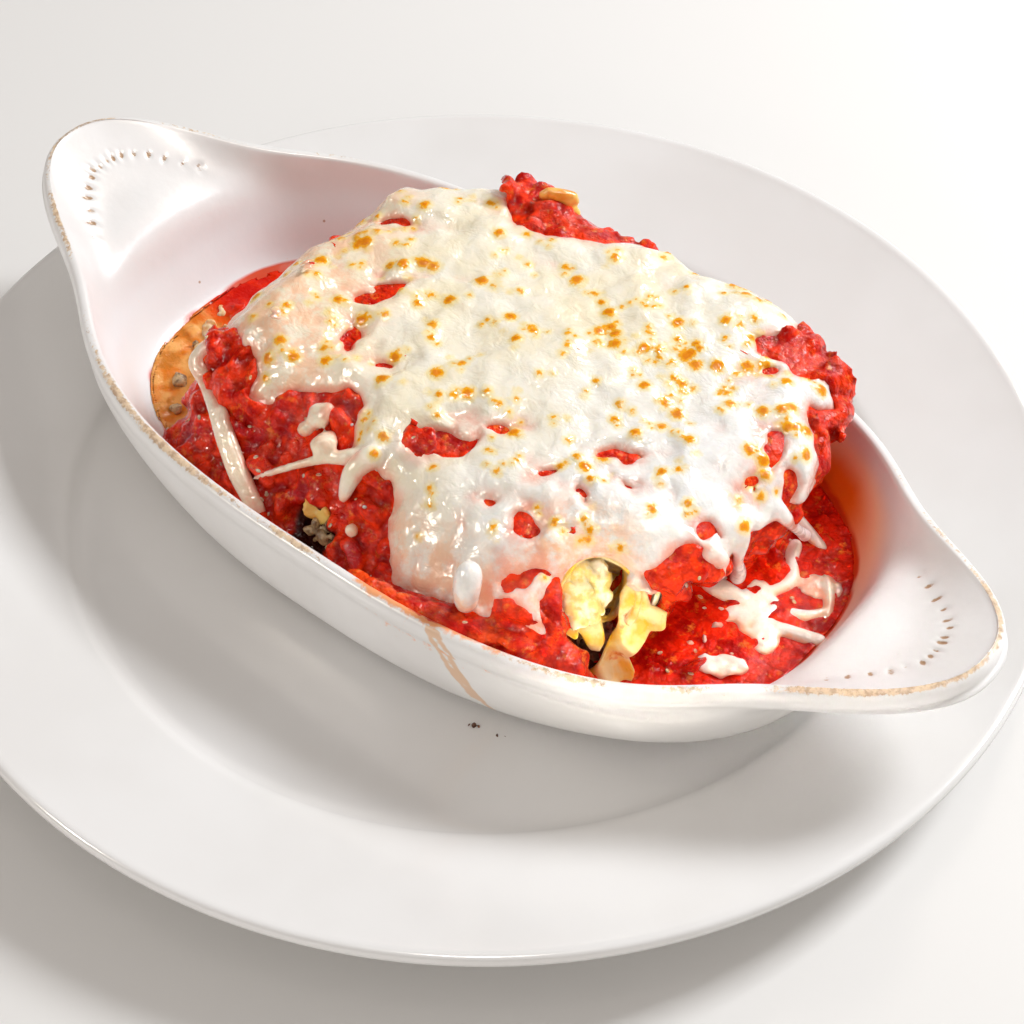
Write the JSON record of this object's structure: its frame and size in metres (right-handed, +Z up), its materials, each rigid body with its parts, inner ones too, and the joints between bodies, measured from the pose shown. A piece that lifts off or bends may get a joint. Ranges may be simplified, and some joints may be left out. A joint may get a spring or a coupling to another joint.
{
  "type": "lasagna",
  "caption": "Baked lasagna under melted cheese and tomato sauce, served in an oval eared gratin dish that stands on a round plate.",
  "frame": {"origin": "middle of the plate's foot, on the surface it stands on", "axes": "+X along the gratin dish's long axis, towards the end where the pasta curl shows; +Z up"},
  "size_m": [0.308, 0.305, 0.0675],
  "materials": {
    "plate_glaze": "glossy white glaze",
    "dish_glaze": "glossy off-white glaze, worn to tan along the rim",
    "tomato_sauce": "wet and chunky",
    "melted_cheese": "melted, with toasted golden spots",
    "pasta": "cooked, moist",
    "ricotta": "crumbly and moist",
    "meat": "browned mince",
    "tomato": "wet and glossy"
  },
  "bodies": {
    "root": {"plate": "plate_glaze", "gratin_dish": "dish_glaze", "sauce_pool_left": "tomato_sauce", "sauce_pool_right": "tomato_sauce", "pasta_sheet_bottom": "pasta", "meat_layer": "meat", "pasta_sheet_middle": "pasta", "ricotta_layer": "ricotta", "pasta_sheet_top": "pasta", "tomato_sauce": "tomato_sauce", "mozzarella": "melted_cheese", "pasta_curl": "pasta", "ricotta_in_curl": "ricotta", "pasta_frill": "pasta", "tomato_chunk_right": "tomato", "tomato_chunk_back": "tomato", "tomato_chunk_left": "tomato", "cheese_patch_pool": "melted_cheese", "cheese_patch_rim": "melted_cheese"}
  },
  "joints": []
}
